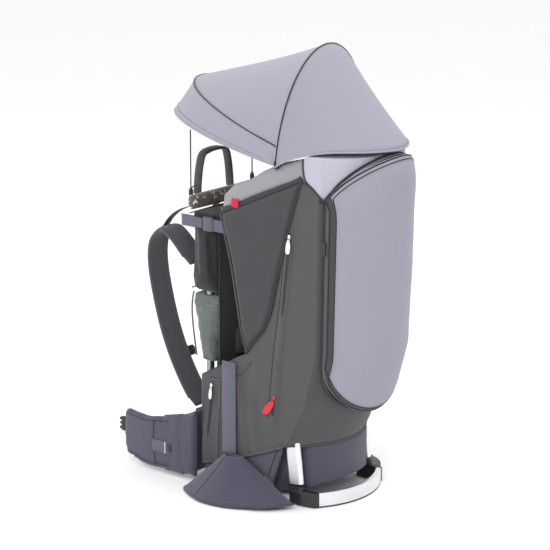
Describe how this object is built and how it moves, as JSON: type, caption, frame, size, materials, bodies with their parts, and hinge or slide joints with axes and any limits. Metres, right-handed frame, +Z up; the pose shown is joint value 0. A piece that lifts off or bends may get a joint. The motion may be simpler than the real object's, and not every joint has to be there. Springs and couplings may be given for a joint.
{
  "type": "child carrier backpack",
  "caption": "Framed backpack for carrying a child, with padded harness, sun canopy, open cockpit, foot stirrups, zip-off daypack and a fold-out stand.",
  "frame": {"origin": "on the floor, at the middle of the stand's foot bar sole", "axes": "+X towards the wearer's left, -Y towards the wearer, +Z up"},
  "size_m": [0.472, 0.6616, 0.9454],
  "materials": {
    "lilac_cloth": "tightly woven polyester, faint sheen",
    "dark_cloth": "coarse woven polyester",
    "slate_cloth": "padded woven nylon",
    "collar_cloth": "soft brushed fabric",
    "black_cloth": "padded black cloth",
    "mesh_cloth": "speckled spacer mesh",
    "print_cloth": "brown-grey print",
    "strap_cloth": "padded strap cloth",
    "webbing": "ribbed webbing",
    "cord": "braided elastic cord",
    "aluminium": "satin anodised",
    "frame_tube": "mill finish, hidden",
    "steel": "bright",
    "bow_metal": "black coated rod",
    "black_plastic": "moulded acetal",
    "grey_plastic": "moulded acetal",
    "red_pull": "moulded soft pull",
    "rubber": "moulded rubber"
  },
  "bodies": {
    "carrier": {"canopy_rear_cloth": "lilac_cloth", "head_panel": "lilac_cloth", "main_bag": "dark_cloth", "left_side_wing": "dark_cloth", "right_side_wing": "dark_cloth", "base_cover": "slate_cloth", "hip_roots": "slate_cloth", "cockpit_collar": "collar_cloth", "back_panel": "black_cloth", "lumbar_pad": "black_cloth", "seat_back_pad": "black_cloth", "mesh_pads": "mesh_cloth", "face_pad": "print_cloth", "strap_webbings": "webbing", "child_straps": "webbing", "frame_side_tubes": "frame_tube", "frame_braces": "frame_tube", "stand_pins": "steel", "stand_bushes": "black_plastic", "canopy_hubs": "black_plastic", "zip_tracks": "black_plastic", "entry_sockets": "grey_plastic", "front_feet": "rubber"},
    "stand": {"stand_legs": "aluminium", "stand_elbows": "black_plastic", "foot_bar": "aluminium", "stand_sole": "rubber"},
    "seat": {"seat_base": "black_cloth"},
    "canopy": {"main_bow": "bow_metal", "visor_pins": "bow_metal", "canopy_top_cloth": "lilac_cloth"},
    "visor": {"visor_bow": "bow_metal", "visor_cloth": "lilac_cloth", "left_canopy_cord": "cord", "right_canopy_cord": "cord"},
    "harness": {"harness_yoke": "black_cloth", "left_shoulder_strap": "strap_cloth", "right_shoulder_strap": "strap_cloth", "ladder_locks": "black_plastic"},
    "left_sternum": {"left_sternum_half": "black_plastic"},
    "right_sternum": {"right_sternum_half": "black_plastic"},
    "left_hip": {"left_hip_wing": "slate_cloth", "left_hip_buckle": "black_plastic"},
    "right_hip": {"right_hip_wing": "slate_cloth", "right_hip_buckle": "black_plastic"},
    "left_foot_loop": {"left_stirrup": "slate_cloth"},
    "right_foot_loop": {"right_stirrup": "slate_cloth"},
    "handle": {"grab_handle": "black_cloth"},
    "left_zip": {"left_side_slider": "steel"},
    "right_zip": {"right_side_slider": "steel"},
    "left_red_zip": {"left_red_slider": "red_pull"},
    "right_red_zip": {"right_red_slider": "red_pull"},
    "left_pocket_zip": {"left_pocket_slider": "steel"},
    "right_pocket_zip": {"right_pocket_slider": "steel"},
    "daypack": {"daypack_back": "dark_cloth", "daypack_gusset": "dark_cloth", "daypack_face": "lilac_cloth"},
    "daypack_zip": {"daypack_slider": "black_plastic"},
    "left_entry": {"left_entry_plug": "grey_plastic"},
    "right_entry": {"right_entry_plug": "grey_plastic"}
  },
  "joints": [
    {"name": "stand_fold", "type": "hinge", "parent": "carrier", "child": "stand", "pos_m": [0, -0.093, 0.15], "axis": [-1, 0, 0], "range_deg": [0, 18]},
    {"name": "seat_height", "type": "slide", "parent": "carrier", "child": "seat", "axis": [0, 0, 1], "range_m": [0, 0.04]},
    {"name": "canopy_fold", "type": "hinge", "parent": "carrier", "child": "canopy", "pos_m": [0, -0.113, 0.712], "axis": [-1, 0, 0], "range_deg": [0, 52], "deforming": ["canopy_rear_cloth"]},
    {"name": "visor_fold", "type": "hinge", "parent": "canopy", "child": "visor", "pos_m": [0, -0.11, 0.756], "axis": [-1, 0, 0], "range_deg": [0, 55], "deforming": ["canopy_top_cloth", "left_canopy_cord", "right_canopy_cord"]},
    {"name": "harness_height", "type": "slide", "parent": "carrier", "child": "harness", "axis": [0, 0, 1], "range_m": [0, 0.05], "deforming": ["strap_webbings"]},
    {"name": "left_sternum_slide", "type": "slide", "parent": "harness", "child": "left_sternum", "axis": [0, -0.4251, 0.9052], "range_m": [0, 0.04]},
    {"name": "right_sternum_slide", "type": "slide", "parent": "harness", "child": "right_sternum", "axis": [0, -0.4251, 0.9052], "range_m": [0, 0.04]},
    {"name": "left_hip_swing", "type": "hinge", "parent": "carrier", "child": "left_hip", "pos_m": [0.147, -0.387, 0.07], "axis": [0, 0, 1], "range_deg": [-35, 60]},
    {"name": "right_hip_swing", "type": "hinge", "parent": "carrier", "child": "right_hip", "pos_m": [-0.147, -0.387, 0.07], "axis": [0, 0, -1], "range_deg": [-35, 60]},
    {"name": "left_stirrup_swing", "type": "hinge", "parent": "carrier", "child": "left_foot_loop", "pos_m": [0.13975, -0.24, 0.281], "axis": [0, -1, 0], "range_deg": [0, 40]},
    {"name": "right_stirrup_swing", "type": "hinge", "parent": "carrier", "child": "right_foot_loop", "pos_m": [-0.13975, -0.24, 0.281], "axis": [0, 1, 0], "range_deg": [0, 40]},
    {"name": "handle_fold", "type": "hinge", "parent": "carrier", "child": "handle", "pos_m": [0, -0.404, 0.596], "axis": [1, 0, 0], "range_deg": [0, 80]},
    {"name": "left_zip_slide", "type": "slide", "parent": "carrier", "child": "left_zip", "axis": [0, -0.1155, -0.9933], "range_m": [0, 0.17]},
    {"name": "right_zip_slide", "type": "slide", "parent": "carrier", "child": "right_zip", "axis": [0, -0.1155, -0.9933], "range_m": [0, 0.17]},
    {"name": "left_red_zip_slide", "type": "slide", "parent": "carrier", "child": "left_red_zip", "axis": [0, 0.1155, 0.9933], "range_m": [0, 0.13]},
    {"name": "right_red_zip_slide", "type": "slide", "parent": "carrier", "child": "right_red_zip", "axis": [0, 0.1155, 0.9933], "range_m": [0, 0.13]},
    {"name": "left_pocket_slide", "type": "slide", "parent": "carrier", "child": "left_pocket_zip", "axis": [0, -0.1065, -0.9943], "range_m": [0, 0.08]},
    {"name": "right_pocket_slide", "type": "slide", "parent": "carrier", "child": "right_pocket_zip", "axis": [0, -0.1065, -0.9943], "range_m": [0, 0.08]},
    {"name": "daypack_detach", "type": "slide", "parent": "carrier", "child": "daypack", "axis": [0, 1, 0], "range_m": [0, 0.12]},
    {"name": "daypack_zip_slide", "type": "slide", "parent": "daypack", "child": "daypack_zip", "axis": [0, 0, -1], "range_m": [0, 0.2]},
    {"name": "left_entry_release", "type": "slide", "parent": "carrier", "child": "left_entry", "axis": [0, -1, 0], "range_m": [0, 0.025]},
    {"name": "right_entry_release", "type": "slide", "parent": "carrier", "child": "right_entry", "axis": [0, -1, 0], "range_m": [0, 0.025]}
  ],
  "couplings": [
    {"joint": "right_sternum_slide", "follows": "left_sternum_slide", "ratio": 1}
  ]
}
